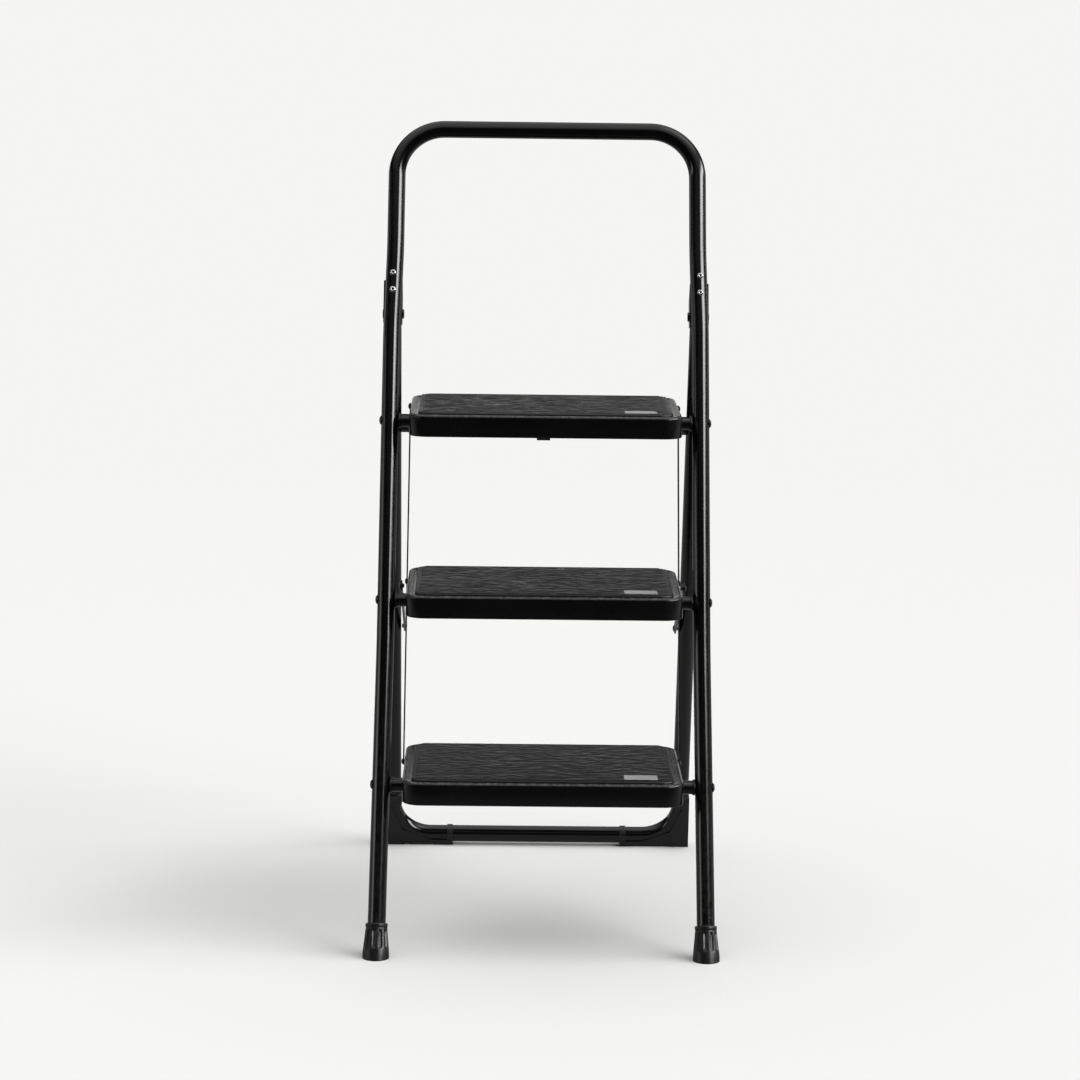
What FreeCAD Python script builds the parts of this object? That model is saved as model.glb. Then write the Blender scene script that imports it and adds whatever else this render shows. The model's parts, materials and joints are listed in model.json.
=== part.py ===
import FreeCAD, Part
import math
import os
import re
import Sketcher
from FreeCAD import Placement, Rotation, Vector

# Folding three-tread step ladder with a tall handrail.
# Frame: millimetres, +Z up, +X to the right of a climber, +Y away from the climber.
# Origin: floor level, mid-plane of the ladder, middle of the open footprint.

SIZES = [
    ("tube_diameter", 25.0, "round steel tube of both frames"),
    ("tube_wall", 1.2, "wall of the frame tubes"),
    ("fit_gap", 0.05, "radial gap of pieces that fit one another"),
    ("front_lean", 16.5, "degrees the front legs lean back"),
    ("rear_lean", 23.0, "degrees the rear legs lean forward"),
    ("front_base_y", -327.0, "front leg axis at floor level"),
    ("front_tube_lift", 6.0, "front tube end above the floor, along the leg"),
    ("base_half_width", 229.2, "front leg axis from the mid-plane, at the floor"),
    ("waist_half_width", 224.9, "front leg axis from the mid-plane, between the kinks"),
    ("grip_half_width", 221.8, "handrail axis from the mid-plane"),
    ("lower_kink", 430.0, "along the leg, where the splay to the floor starts"),
    ("waist_kink", 885.0, "along the leg, where the handrail starts to narrow"),
    ("grip_kink", 1000.0, "along the leg, where the handrail is narrow"),
    ("kink_bend", 1500.0, "radius of the slight bends in the legs"),
    ("grip_top", 1183.9, "along the leg, axis of the top grip bar"),
    ("grip_bend", 70.0, "bend radius of the handrail, on its axis"),
    ("tread_low_height", 239.4, "top of the lowest tread pan above the floor"),
    ("tread_spacing", 246.8, "rise between treads"),
    ("tread_width", 393.5, "tread pan, side to side"),
    ("tread_front", 55.0, "tread pan ahead of its crossbar axis"),
    ("tread_rear", 203.0, "tread pan behind its crossbar axis"),
    ("tread_skirt", 31.5, "height of the tread pan's skirt"),
    ("tread_sheet", 1.2, "steel sheet of the tread pan"),
    ("tread_corner", 28.0, "corner radius of the tread pan, seen from above"),
    ("tread_edge", 4.0, "rounding of the tread pan's top edge"),
    ("crossbar_drop", 14.7, "crossbar axis below the top of the tread pan"),
    ("crossbar_diameter", 19.0, "crossbar tube that carries a tread"),
    ("crossbar_wall", 1.5, "wall of the crossbar tube"),
    ("tie_rod_diameter", 8.0, "rod through a crossbar and both legs"),
    ("rod_head_diameter", 13.0, "domed end of a tie rod"),
    ("rod_head_height", 3.0, "height of the domed end of a tie rod"),
    ("bush_diameter", 22.0, "bush between a crossbar and a leg"),
    ("bush_length", 3.0, "length of that bush"),
    ("bush_gap", 0.2, "between that bush and the leg, which is not quite square to it"),
    ("mat_side_inset", 13.0, "mat edge from the side of the tread pan"),
    ("mat_end_inset", 8.5, "mat edge from the front and rear of the tread pan"),
    ("mat_thickness", 2.8, "rubber mat"),
    ("mat_corner", 20.0, "corner radius of the mat"),
    ("badge_width", 47.0, "plain plate on the mat, side to side"),
    ("badge_depth", 27.0, "plain plate on the mat, front to rear"),
    ("badge_thickness", 0.6, "plain plate on the mat"),
    ("badge_x", 137.0, "centre of the plate from the mid-plane"),
    ("badge_setback", 25.0, "centre of the plate behind the mat's front edge"),
    ("link_back", 119.0, "link bar pivot behind the crossbar axis"),
    ("link_up", 6.7, "link bar pivot above the crossbar axis"),
    ("link_x", 197.3, "inner face of a link bar from the mid-plane"),
    ("link_thickness", 2.0, "link bar"),
    ("link_width", 10.0, "link bar"),
    ("link_rivet_diameter", 5.0, "rivet of the link bars"),
    ("link_head_diameter", 8.0, "head of that rivet"),
    ("link_head_height", 2.2, "head of that rivet"),
    ("strut_back", 133.0, "strut pivot on the middle tread behind the crossbar axis"),
    ("strut_down", 2.3, "strut pivot below the crossbar axis"),
    ("strut_leg_distance", 538.9, "strut pivot on the rear leg from the main pivot"),
    ("strut_x", 205.5, "inner face of a strut from the mid-plane"),
    ("strut_thickness", 2.5, "strut bar"),
    ("strut_width", 16.0, "strut bar"),
    ("strut_rivet_diameter", 6.0, "rivets of the struts"),
    ("strut_head_diameter", 10.0, "head of that rivet"),
    ("strut_head_height", 2.4, "head of that rivet"),
    ("pivot_height", 865.2, "main pivot above the floor"),
    ("pivot_back", 34.0, "main pivot behind the front leg axis, level"),
    ("pivot_bolt_diameter", 8.0, "bolt of the main pivot"),
    ("pivot_head_diameter", 14.0, "head of that bolt"),
    ("pivot_head_height", 1.6, "head of that bolt"),
    ("pivot_nut_width", 12.0, "nut of that bolt, across its flats"),
    ("pivot_nut_height", 2.4, "nut of that bolt"),
    ("rear_tube_end", 12.0, "rear tube above the main pivot, along the leg"),
    ("rear_half_width", 224.5, "rear leg axis from the mid-plane"),
    ("rear_bend", 60.0, "bend radius of the rear tube, on its axis"),
    ("rear_bar_height", 16.5, "axis of the rear floor bar above the floor"),
    ("rear_crossbar_gap", 0.2, "between the top tread's skirt and the rear crossbar"),
    ("bracket_half_width", 224.5, "middle of the hinge bracket from the mid-plane"),
    ("bracket_sheet", 1.2, "steel sheet of the hinge bracket"),
    ("bracket_gap", 0.1, "between the bracket and either tube"),
    ("bracket_web", 21.0, "width of the bracket above its cheeks"),
    ("bracket_top", 996.0, "along the leg, top of the hinge bracket"),
    ("bracket_bottom", 897.0, "along the leg, bottom of the hinge bracket"),
    ("bracket_cheek_top", 958.0, "along the leg, where the cheeks reach full depth"),
    ("bracket_slope", 22.0, "drop of the cheeks' upper edge towards the rear"),
    ("bracket_reach", 47.0, "rear edge of the cheeks behind the front leg axis"),
    ("bracket_corner", 8.0, "rounding of the cheeks' rear corners"),
    ("bracket_rivet_low", 939.5, "along the leg, lower rivet of the bracket"),
    ("bracket_rivet_high", 964.5, "along the leg, upper rivet of the bracket"),
    ("bracket_rivet_diameter", 5.0, "rivet of the bracket"),
    ("bracket_head_diameter", 9.0, "head of that rivet"),
    ("bracket_head_height", 2.0, "head of that rivet"),
    ("rivet_tail_height", 1.2, "closed end of a rivet"),
    ("ferrule_base_diameter", 37.0, "rubber ferrule at the floor"),
    ("ferrule_top_diameter", 30.0, "rubber ferrule at its mouth"),
    ("ferrule_length", 46.0, "rubber ferrule, along the leg"),
    ("ferrule_band", 6.0, "plain band above the floor, along the leg"),
    ("ferrule_ring", 0.8, "how far the ring at the ferrule's mouth stands out"),
    ("ferrule_ring_height", 3.0, "height of that ring"),
    ("ferrule_ring_edge", 1.0, "slope above and below that ring"),
    ("ferrule_seat", 0.3, "between the end of the front tube and the bottom of the ferrule's bore"),
    ("rear_foot_depth", 28.0, "plastic corner foot, front to rear"),
    ("rear_foot_side", 2.0, "plastic around the outer side of the rear tube"),
    ("rear_foot_wall", 1.5, "plastic around the rest of the rear tube"),
    ("rear_foot_taper", 1.0, "how far the foot's outer side leans in at its top"),
    ("rear_foot_step", 3.0, "slope between the sleeve and the inner edge of the foot"),
    ("rear_foot_below", 40.0, "how far the foot's block reaches below the bar before it is cut level"),
    ("rear_foot_sleeve", 19.0, "closed sleeve at the top of the foot, above the bend"),
    ("rear_foot_cup", 63.0, "inner edge of the foot from the centre of the tube's bend"),
    ("rear_foot_collar", 9.0, "closed collar at the inner end of the foot"),
    ("rear_foot_inner", 131.0, "inner end of the corner foot from the mid-plane"),
    ("rear_foot_pad", 208.0, "inner edge of the outer pad from the mid-plane"),
    ("rear_foot_hollow", 2.5, "height of the hollow between the two pads"),
    ("rear_foot_hollow_width", 68.0, "width of that hollow at the floor"),
    ("rear_foot_hollow_slope", 4.0, "width of the slope at the hollow's outer end"),
    ("rear_foot_inner_slope", 26.0, "width of the slope at the hollow's inner end"),
    ("latch_width", 20.0, "safety latch"),
    ("latch_thickness", 4.0, "safety latch"),
    ("latch_gap", 1.5, "between the latch and the rear crossbar"),
    ("latch_pin_diameter", 5.0, "pin of the safety latch"),
    ("latch_pin_drop", 11.0, "pin of the safety latch below the top of the pan"),
    ("latch_tip_height", 670.5, "lowest point of the latch above the floor"),
    ("latch_eye", 2.0, "plastic around the latch pin"),
    ("latch_hook", 7.0, "how far the hook of the latch stands out behind it"),
    ("latch_hook_height", 12.0, "height of that hook"),
    ("latch_lip", 2.0, "small slopes of that hook"),
    ("latch_ear", 1.5, "sheet of the latch bracket"),
    ("latch_ear_gap", 0.4, "between an ear of the bracket and the latch"),
    ("latch_ear_drop", 5.0, "ears of the bracket below the pin's axis"),
    ("latch_bracket_depth", 14.0, "latch bracket, front to rear"),
]

doc = FreeCAD.newDocument("step_ladder")
sheet = doc.addObject("Spreadsheet::Sheet", "Sizes")
for row, (alias, number, note) in enumerate(SIZES, start=1):
    sheet.set(f"A{row}", note)
    sheet.set(f"B{row}", str(number))
    sheet.setAlias(f"B{row}", alias)
doc.recompute()

ALIASES = {alias for alias, number, note in SIZES}
SIDES = (("left", -1), ("right", 1))
TREADS = (("low", 0), ("mid", 1), ("top", 2))
DOME_WIDTH = 0.6  # shoulder of a domed head, as a share of its radius
DOME_RISE = 0.8  # height of that shoulder, as a share of the head's height
TAIL_SHARE = 1.5  # closed end of a rivet, as a share of the shank's diameter
TAIL_GAP = 0.1  # between a rivet's closed end and the sheet it holds, in mm
PIN_GAP = 0.3  # between a strut's lower pin and the rear leg, in mm
OVERCUT = 10.0  # how far a cutting outline reaches past the piece, in mm
CUTTER = 300.0  # length of a cutting block, in mm
FLOOR_BLOCK = 200.0  # side of the block that cuts a ferrule level, in mm
SMALL = 1e-3  # lengths closer than this are taken as equal, in mm


def size(text):
    """Number of an expression written with the aliases, such as tube_diameter / 2."""
    return float(sheet.evalExpression(text))


def bound(text):
    """The same expression as another object of the document has to write it."""
    return re.sub(r"[a-z]\w*", lambda word: f"Sizes.{word[0]}" if word[0] in ALIASES else word[0], text)


# Heights and places that several pieces share, worked out from the sheet.
FRONT = math.radians(size("front_lean"))
REAR = math.radians(size("rear_lean"))
BASE = Vector(0, size("front_base_y"), 0)
PIVOT = Vector(
    0,
    BASE.y + size("pivot_height") * math.tan(FRONT) + size("pivot_back"),
    size("pivot_height"),
)
REAR_LEG = (size("pivot_height") - size("rear_bar_height")) / math.cos(REAR)
REAR_CROSSBAR_DISTANCE = (
    size("pivot_height")
    - size("tread_low_height + 2 * tread_spacing - tread_skirt - rear_crossbar_gap - crossbar_diameter / 2")
) / math.cos(REAR)


def hinge_height(step):
    """Height of the crossbar axis of tread number step, 0 being the lowest."""
    return size(f"tread_low_height + {step} * tread_spacing - crossbar_drop")


def hinge_point(step):
    height = hinge_height(step)
    return Vector(0, BASE.y + height * math.tan(FRONT), height)


def along_leg(step):
    """Distance of that crossbar axis from the floor, along the front leg."""
    return hinge_height(step) / math.cos(FRONT)


def leg_half_width(step):
    """Front leg axis from the mid-plane at that crossbar."""
    wide = size("base_half_width")
    narrow = size("waist_half_width")
    share = min(along_leg(step) / size("lower_kink"), 1.0)
    return wide + (narrow - wide) * share


# Local frames. In a leg's plane x is across, y runs up the leg and z faces the climber.
FRONT_PLANE = Placement(BASE, Rotation(Vector(1, 0, 0), 90 - math.degrees(FRONT)))
REAR_PLANE = Placement(PIVOT, Rotation(Vector(1, 0, 0), 90 + math.degrees(REAR)))
UPRIGHT = Placement()


def offset(placement, x=0.0, y=0.0, z=0.0):
    return placement * Placement(Vector(x, y, z), Rotation())


def new_body(label, placement=UPRIGHT):
    body = doc.addObject("PartDesign::Body", label)
    body.Label = label
    body.Placement = placement
    return body


def new_sketch(body, role, lift="0"):
    """Sketch on one of the body's own origin planes, moved off it by lift."""
    sketch = body.newObject("Sketcher::SketchObject", "Sketch")
    plane = next(f for f in body.Origin.OriginFeatures if f.Role == role)
    sketch.AttachmentSupport = [(plane, "")]
    sketch.MapMode = "FlatFace"
    sketch.setExpression("AttachmentOffset.Base.z", bound(lift))
    return sketch


def fix(sketch, kind, targets, text):
    """Add a dimension to the sketch and bind it to the sheet."""
    index = sketch.addConstraint(Sketcher.Constraint(kind, *targets, size(text)))
    sketch.setExpression(f"Constraints[{index}]", bound(text))


def fix_point(sketch, geometry, position, x, y):
    fix(sketch, "DistanceX", (-1, 1, geometry, position), x)
    fix(sketch, "DistanceY", (-1, 1, geometry, position), y)


def draw_circle(sketch, x, y, diameter):
    centre = Vector(size(x), size(y), 0)
    circle = Part.Circle(centre, Vector(0, 0, 1), size(diameter) / 2)
    index = sketch.addGeometry(circle, False)
    fix_point(sketch, index, 3, x, y)
    fix(sketch, "Diameter", (index,), diameter)


def draw_lines(sketch, points, closed=True):
    """Straight outline through points given as pairs of expressions."""
    corners = [Vector(size(x), size(y), 0) for x, y in points]
    ends = corners[1:] + (corners[:1] if closed else [])
    first = None
    for number, (start, end) in enumerate(zip(corners, ends)):
        index = sketch.addGeometry(Part.LineSegment(start, end), False)
        fix_point(sketch, index, 1, *points[number])
        if first is None:
            first = index
        else:
            sketch.addConstraint(Sketcher.Constraint("Coincident", index - 1, 2, index, 1))
    if closed:
        sketch.addConstraint(Sketcher.Constraint("Coincident", index, 2, first, 1))
    else:
        fix_point(sketch, index, 2, *points[-1])


def draw_corner(sketch, before, after, radius):
    """Round the corner between two lines of the sketch."""
    lines = sketch.Geometry[before], sketch.Geometry[after]
    first, second = [(line.StartPoint + line.EndPoint) / 2 for line in lines]
    arc = len(sketch.Geometry)
    sketch.fillet(before, after, first, second, size(radius), True, True)
    fix(sketch, "Radius", (arc,), radius)


def pad(body, sketch, length, both_ways=False, back=False):
    feature = body.newObject("PartDesign::Pad", "Pad")
    feature.Profile = sketch
    feature.setExpression("Length", bound(length))
    feature.Midplane = both_ways
    feature.Reversed = back
    body.Tip = feature
    return feature


def cut_through(body, sketch):
    """Cut the sketch through the whole body, both ways."""
    feature = body.newObject("PartDesign::Pocket", "Pocket")
    feature.Profile = sketch
    feature.Type = 1
    feature.Midplane = True
    body.Tip = feature
    return feature


def revolve(body, sketch):
    """Turn the sketch all the way round its own vertical axis."""
    feature = body.newObject("PartDesign::Revolution", "Revolution")
    feature.Profile = sketch
    feature.ReferenceAxis = (sketch, ["V_Axis"])
    feature.Angle = 360
    body.Tip = feature
    return feature


def edges_where(body, test):
    """Names of the edges of the body's present shape that pass the test."""
    doc.recompute()
    edges = body.Tip.Shape.Edges
    return [f"Edge{number}" for number, edge in enumerate(edges, start=1) if test(edge)]


def round_edges(body, test, radius):
    names = edges_where(body, test)
    base = body.Tip
    feature = body.newObject("PartDesign::Fillet", "Fillet")
    feature.Base = (base, names)
    feature.setExpression("Radius", bound(radius))
    body.Tip = feature
    return feature


def is_upright(edge):
    """A straight edge along the body's own z axis."""
    start, end = edge.Vertexes[0].Point, edge.Vertexes[-1].Point
    level = abs(start.x - end.x) < SMALL and abs(start.y - end.y) < SMALL
    return level and abs(start.z - end.z) > SMALL


def at_height(height):
    def test(edge):
        return all(abs(vertex.Z - height) < SMALL for vertex in edge.Vertexes)
    return test


def pipe(body, path, profile):
    feature = body.newObject("PartDesign::AdditivePipe", "AdditivePipe")
    feature.Profile = profile
    feature.Spine = path
    feature.Transition = 1
    body.Tip = feature
    return feature


def group(label, members):
    """One node for identical separate solids."""
    compound = doc.addObject("Part::Compound", label)
    compound.Label = label
    compound.Links = members
    return compound


def difference(label, base, tool):
    cut = doc.addObject("Part::Cut", label)
    cut.Label = label
    cut.Base = base
    cut.Tool = tool
    return cut


# ---- front frame ----

def front_tube():
    """One tube bent to an upturned U: both front legs and the handrail."""
    body = new_body("front_tube", FRONT_PLANE)
    path = new_sketch(body, "XY_Plane")
    splay = "( base_half_width - waist_half_width )"
    foot = f"( base_half_width - {splay} * front_tube_lift / lower_kink )"
    right = [
        (foot, "front_tube_lift"),
        ("waist_half_width", "lower_kink"),
        ("waist_half_width", "waist_kink"),
        ("grip_half_width", "grip_kink"),
        ("grip_half_width", "grip_top"),
    ]
    left = [(f"- {x}", y) for x, y in reversed(right)]
    draw_lines(path, right + left, closed=False)
    for line in range(len(right + left) - 2):
        draw_corner(path, line, line + 1, "grip_bend" if line in (3, 4) else "kink_bend")
    profile = new_sketch(body, "XZ_Plane", "- front_tube_lift")
    draw_circle(profile, foot, "0", "tube_diameter")
    draw_circle(profile, foot, "0", "tube_diameter - 2 * tube_wall")
    pipe(body, path, profile)
    rods = new_sketch(body, "YZ_Plane")
    for name, step in TREADS:
        height = f"( tread_low_height + {step} * tread_spacing - crossbar_drop ) / cos( front_lean )"
        draw_circle(rods, height, "0", "tie_rod_diameter + 2 * fit_gap")
    cut_through(body, rods)
    rivets = new_sketch(body, "XY_Plane")
    for name, side in SIDES:
        for height in ("bracket_rivet_low", "bracket_rivet_high"):
            x = f"{side} * bracket_half_width"
            draw_circle(rivets, x, height, "bracket_rivet_diameter + 2 * fit_gap")
    cut_through(body, rivets)
    return body


def bar_tube(label, place, half_length):
    """Straight tube across the ladder, such as a crossbar."""
    body = new_body(label, place)
    sketch = new_sketch(body, "YZ_Plane")
    draw_circle(sketch, "0", "0", "crossbar_diameter")
    draw_circle(sketch, "0", "0", "crossbar_diameter - 2 * crossbar_wall")
    pad(body, sketch, f"2 * {half_length:.3f}", both_ways=True)
    return body


def crossbar(name, step):
    """Tube between the front legs that a tread turns on."""
    gap = size("tube_diameter / 2 + bush_length + bush_gap + fit_gap")
    return bar_tube(f"crossbar_{name}", Placement(hinge_point(step), Rotation()), leg_half_width(step) - gap)


def domed_rod(label, place, half_length):
    """Rod across the ladder with a domed head at each end."""
    body = new_body(label, place)
    sketch = new_sketch(body, "XY_Plane")
    end = f"{half_length:.3f}"
    head = "rod_head_diameter / 2"
    draw_lines(sketch, [
        ("0", f"- {end} - rod_head_height"),
        (f"{head} * {DOME_WIDTH}", f"- {end} - rod_head_height * {DOME_RISE}"),
        (head, f"- {end}"),
        ("tie_rod_diameter / 2", f"- {end}"),
        ("tie_rod_diameter / 2", end),
        (head, end),
        (f"{head} * {DOME_WIDTH}", f"{end} + rod_head_height * {DOME_RISE}"),
        ("0", f"{end} + rod_head_height"),
    ])
    revolve(body, sketch)
    return body


def tie_rods():
    """The rods through the three crossbars and the front legs."""
    rods = []
    turn = Rotation(Vector(0, 0, 1), 90)
    for name, step in TREADS:
        place = Placement(hinge_point(step), turn)
        half = leg_half_width(step) + size("tube_diameter / 2 + fit_gap")
        rods.append(domed_rod(f"rod_{name}", place, half))
    return group("tie_rods", rods)


def ring(label, place, outer, inner, length):
    """Ring whose axis runs along the place's x axis, centred on it."""
    body = new_body(label, place)
    sketch = new_sketch(body, "YZ_Plane")
    draw_circle(sketch, "0", "0", outer)
    draw_circle(sketch, "0", "0", inner)
    pad(body, sketch, length, both_ways=True)
    return body


def crossbar_bushes():
    """Plastic bushes on the tie rods, between crossbar and leg."""
    rings = []
    for name, step in TREADS:
        away = leg_half_width(step) - size("tube_diameter / 2 + bush_length / 2 + bush_gap")
        for side_name, side in SIDES:
            place = Placement(hinge_point(step) + Vector(side * away, 0, 0), Rotation())
            rings.append(ring(
                f"bush_{name}_{side_name}", place,
                "bush_diameter", "tie_rod_diameter + 2 * fit_gap", "bush_length",
            ))
    return group("crossbar_bushes", rings)


def hinge_bracket(name, side):
    """Stamped bracket behind the front tube, with two cheeks for the rear tube."""
    body = new_body(f"hinge_bracket_{name}", offset(FRONT_PLANE, x=side * size("bracket_half_width")))
    inner = "( tube_diameter / 2 + bracket_gap )"
    outer = "( tube_diameter / 2 + bracket_gap + bracket_sheet )"
    section = new_sketch(body, "XZ_Plane", "- bracket_bottom")
    draw_lines(section, [
        (f"- {outer}", f"- {inner}"),
        (outer, f"- {inner}"),
        (outer, "- bracket_reach"),
        (inner, "- bracket_reach"),
        (inner, f"- {outer}"),
        (f"- {inner}", f"- {outer}"),
        (f"- {inner}", "- bracket_reach"),
        (f"- {outer}", "- bracket_reach"),
    ])
    pad(body, section, "bracket_top - bracket_bottom", back=True)
    slope = new_sketch(body, "YZ_Plane")
    draw_lines(slope, [
        ("bracket_cheek_top", f"- {outer}"),
        (f"bracket_top + {OVERCUT}", f"- {outer}"),
        (f"bracket_top + {OVERCUT}", "- bracket_reach"),
        ("bracket_cheek_top - bracket_slope", "- bracket_reach"),
    ])
    cut_through(body, slope)
    shoulders = new_sketch(body, "XY_Plane")
    for side_of_web in (-1, 1):
        web_edge = f"{side_of_web} * bracket_web / 2"
        outside = f"{side_of_web} * ( bracket_web / 2 + {OVERCUT} )"
        draw_lines(shoulders, [
            (web_edge, "bracket_cheek_top"),
            (outside, "bracket_cheek_top"),
            (outside, f"bracket_top + {OVERCUT}"),
            (web_edge, f"bracket_top + {OVERCUT}"),
        ])
    cut_through(body, shoulders)
    holes = new_sketch(body, "YZ_Plane")
    draw_circle(
        holes,
        "pivot_height / cos( front_lean ) + pivot_back * sin( front_lean )",
        "- pivot_back * cos( front_lean )",
        "pivot_bolt_diameter + 2 * fit_gap",
    )
    cut_through(body, holes)
    rivets = new_sketch(body, "XY_Plane")
    for height in ("bracket_rivet_low", "bracket_rivet_high"):
        draw_circle(rivets, "0", height, "bracket_rivet_diameter + 2 * fit_gap")
    cut_through(body, rivets)

    def rear_corner(edge):
        across = abs(edge.Vertexes[0].X - edge.Vertexes[-1].X)
        at_rear = all(vertex.Z < -size("bracket_reach") + SMALL for vertex in edge.Vertexes)
        return at_rear and abs(across - size("bracket_sheet")) < SMALL

    round_edges(body, rear_corner, "bracket_corner")
    return body


def headed_pin(label, place, shank, length, head, height, tail=True):
    """Pin along the place's y axis: domed head below zero, and a wider closed end if it has a tail."""
    body = new_body(label, place)
    sketch = new_sketch(body, "XY_Plane")
    points = [
        ("0", f"- ( {height} )"),
        (f"{head} / 2 * {DOME_WIDTH}", f"- ( {height} ) * {DOME_RISE}"),
        (f"{head} / 2", "0"),
        (f"{shank} / 2", "0"),
        (f"{shank} / 2", length),
    ]
    if tail:
        points += [
            (f"{shank} * {TAIL_SHARE} / 2", length),
            (f"{shank} * {TAIL_SHARE} / 2", f"{length} + rivet_tail_height"),
            ("0", f"{length} + rivet_tail_height"),
        ]
    else:
        points.append(("0", length))
    draw_lines(sketch, points)
    revolve(body, sketch)
    return body


def bracket_rivets():
    """Rivets through the front tube and the web of each bracket."""
    pins = []
    length = "tube_diameter + 2 * fit_gap + bracket_gap + bracket_sheet"
    for name, side in SIDES:
        for level in ("low", "high"):
            place = offset(
                FRONT_PLANE,
                x=side * size("bracket_half_width"),
                y=size(f"bracket_rivet_{level}"),
                z=size("tube_diameter / 2 + fit_gap"),
            )
            turned = place * Placement(Vector(), Rotation(Vector(1, 0, 0), -90))
            pins.append(headed_pin(
                f"bracket_rivet_{name}_{level}", turned, "bracket_rivet_diameter", length,
                "bracket_head_diameter", "bracket_head_height",
            ))
    return group("bracket_rivets", pins)


def ferrule(name, side):
    """Rubber ferrule on the end of a front leg, its sole flat on the floor."""
    splay = math.degrees(math.atan2(size("base_half_width - waist_half_width"), size("lower_kink")))
    lean = FRONT_PLANE * Placement(
        Vector(side * size("base_half_width"), 0, 0), Rotation(Vector(0, 0, 1), side * splay)
    )
    body = new_body(f"ferrule_{name}", lean)
    sketch = new_sketch(body, "XY_Plane")
    bore = "tube_diameter / 2 + fit_gap"
    ring_foot = "ferrule_length - ferrule_ring_edge - ferrule_ring_height"
    draw_lines(sketch, [
        ("0", "- ferrule_base_diameter / 2"),
        ("ferrule_base_diameter / 2", "- ferrule_base_diameter / 2"),
        ("ferrule_base_diameter / 2", "ferrule_band"),
        ("ferrule_top_diameter / 2", f"{ring_foot} - ferrule_ring_edge"),
        ("ferrule_top_diameter / 2 + ferrule_ring", ring_foot),
        ("ferrule_top_diameter / 2 + ferrule_ring", "ferrule_length - ferrule_ring_edge"),
        ("ferrule_top_diameter / 2", "ferrule_length"),
        (bore, "ferrule_length"),
        (bore, "front_tube_lift - ferrule_seat"),
        ("0", "front_tube_lift - ferrule_seat"),
    ])
    revolve(body, sketch)
    floor = doc.addObject("Part::Box", "floor_block")
    floor.Length = floor.Width = floor.Height = FLOOR_BLOCK
    corner = Vector(side * size("base_half_width"), BASE.y, 0) - Vector(0.5, 0.5, 1) * FLOOR_BLOCK
    floor.Placement = Placement(corner, Rotation())
    return difference(f"front_foot_{name}", body, floor)


def pivot_side(side, reach):
    """Place of something on the pivot axis, turned so that its y axis points to the mid-plane."""
    return Placement(PIVOT + Vector(side * reach, 0, 0), Rotation(Vector(0, 0, 1), side * 90))


def pivot_bolts():
    """Bolts of the main pivot, heads outside."""
    pins = []
    cheek = "( tube_diameter / 2 + bracket_gap + bracket_sheet )"
    reach = size(f"bracket_half_width + {cheek} + fit_gap")
    for name, side in SIDES:
        pins.append(headed_pin(
            f"pivot_bolt_{name}", pivot_side(side, reach), "pivot_bolt_diameter",
            f"2 * {cheek} + 2 * fit_gap + pivot_nut_height",
            "pivot_head_diameter", "pivot_head_height", tail=False,
        ))
    return group("pivot_bolts", pins)


def hexagon_points(across):
    corner = f"{across} / 2 / cos( 30 )"
    return [(f"{corner} * cos( {angle} )", f"{corner} * sin( {angle} )") for angle in range(0, 360, 60)]


def pivot_nuts():
    """Nuts of the main pivot, on the inner cheeks."""
    nuts = []
    reach = size("bracket_half_width - ( tube_diameter / 2 + bracket_gap + bracket_sheet ) - fit_gap")
    for name, side in SIDES:
        body = new_body(f"pivot_nut_{name}", Placement(PIVOT + Vector(side * reach, 0, 0), Rotation()))
        sketch = new_sketch(body, "YZ_Plane")
        draw_lines(sketch, hexagon_points("pivot_nut_width"))
        draw_circle(sketch, "0", "0", "pivot_bolt_diameter + 2 * fit_gap")
        pad(body, sketch, "pivot_nut_height", back=side > 0)
        nuts.append(body)
    return group("pivot_nuts", nuts)


# ---- rear frame: local y is zero on the main pivot and runs up the leg ----

def rear_tube_path(body, top):
    path = new_sketch(body, "XY_Plane")
    bottom = f"- {REAR_LEG:.3f}"
    draw_lines(path, [
        ("rear_half_width", top),
        ("rear_half_width", bottom),
        ("- rear_half_width", bottom),
        ("- rear_half_width", top),
    ], closed=False)
    draw_corner(path, 0, 1, "rear_bend")
    draw_corner(path, 1, 2, "rear_bend")
    return path


def rear_tube():
    """Tube bent to a U: both rear legs and the floor bar."""
    body = new_body("rear_tube", REAR_PLANE)
    path = rear_tube_path(body, "rear_tube_end")
    profile = new_sketch(body, "XZ_Plane", "- rear_tube_end")
    draw_circle(profile, "rear_half_width", "0", "tube_diameter")
    draw_circle(profile, "rear_half_width", "0", "tube_diameter - 2 * tube_wall")
    pipe(body, path, profile)
    holes = new_sketch(body, "YZ_Plane")
    draw_circle(holes, "0", "0", "pivot_bolt_diameter + 2 * fit_gap")
    draw_circle(holes, f"- {REAR_CROSSBAR_DISTANCE:.3f}", "0", "tie_rod_diameter + 2 * fit_gap")
    cut_through(body, holes)
    return body


def rear_crossbar_place():
    return offset(REAR_PLANE, y=-REAR_CROSSBAR_DISTANCE)


def rear_crossbar():
    """Tube between the rear legs that the top tread rests on."""
    half = size("rear_half_width - tube_diameter / 2 - fit_gap")
    return bar_tube("rear_crossbar", rear_crossbar_place(), half)


def rear_tie_rod():
    half = size("rear_half_width + tube_diameter / 2 + fit_gap")
    place = rear_crossbar_place() * Placement(Vector(), Rotation(Vector(0, 0, 1), 90))
    return domed_rod("rear_tie_rod", place, half)


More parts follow.
